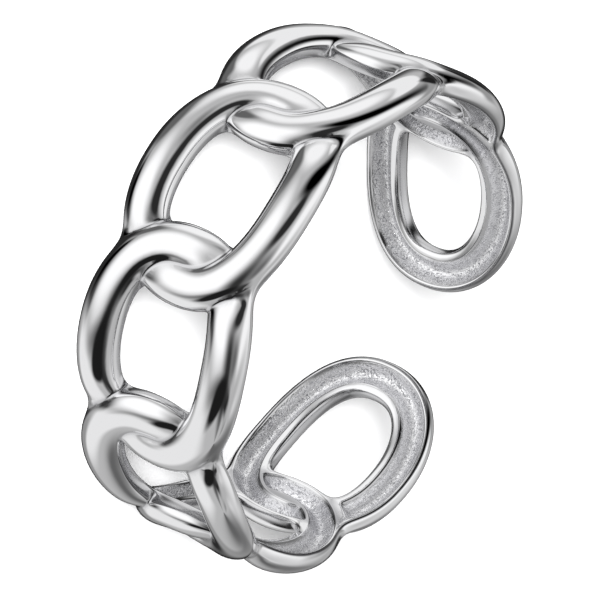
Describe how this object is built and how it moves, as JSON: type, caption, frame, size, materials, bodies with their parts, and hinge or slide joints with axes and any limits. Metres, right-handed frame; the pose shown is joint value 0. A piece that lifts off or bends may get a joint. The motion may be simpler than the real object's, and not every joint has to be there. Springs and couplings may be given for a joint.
{
  "type": "open chain-link finger ring",
  "caption": "Open finger ring: a band of fused oval chain links with domed polished wires outside, hollow backs inside and a gap between the end links.",
  "frame": {"origin": "on the ring's axis, at the rear edge of the band, which the ring rests on when it lies on its side", "axes": "+Z along the ring's axis towards its front edge, +Y towards the middle of the open gap, -Y towards the middle of the chain"},
  "size_m": [0.0196, 0.0192, 0.0069],
  "materials": {
    "polished_silver": "bright polished silver, matte and finely grained in the hollow backs"
  },
  "bodies": {
    "root": {"chain_band": "polished_silver"}
  },
  "joints": []
}
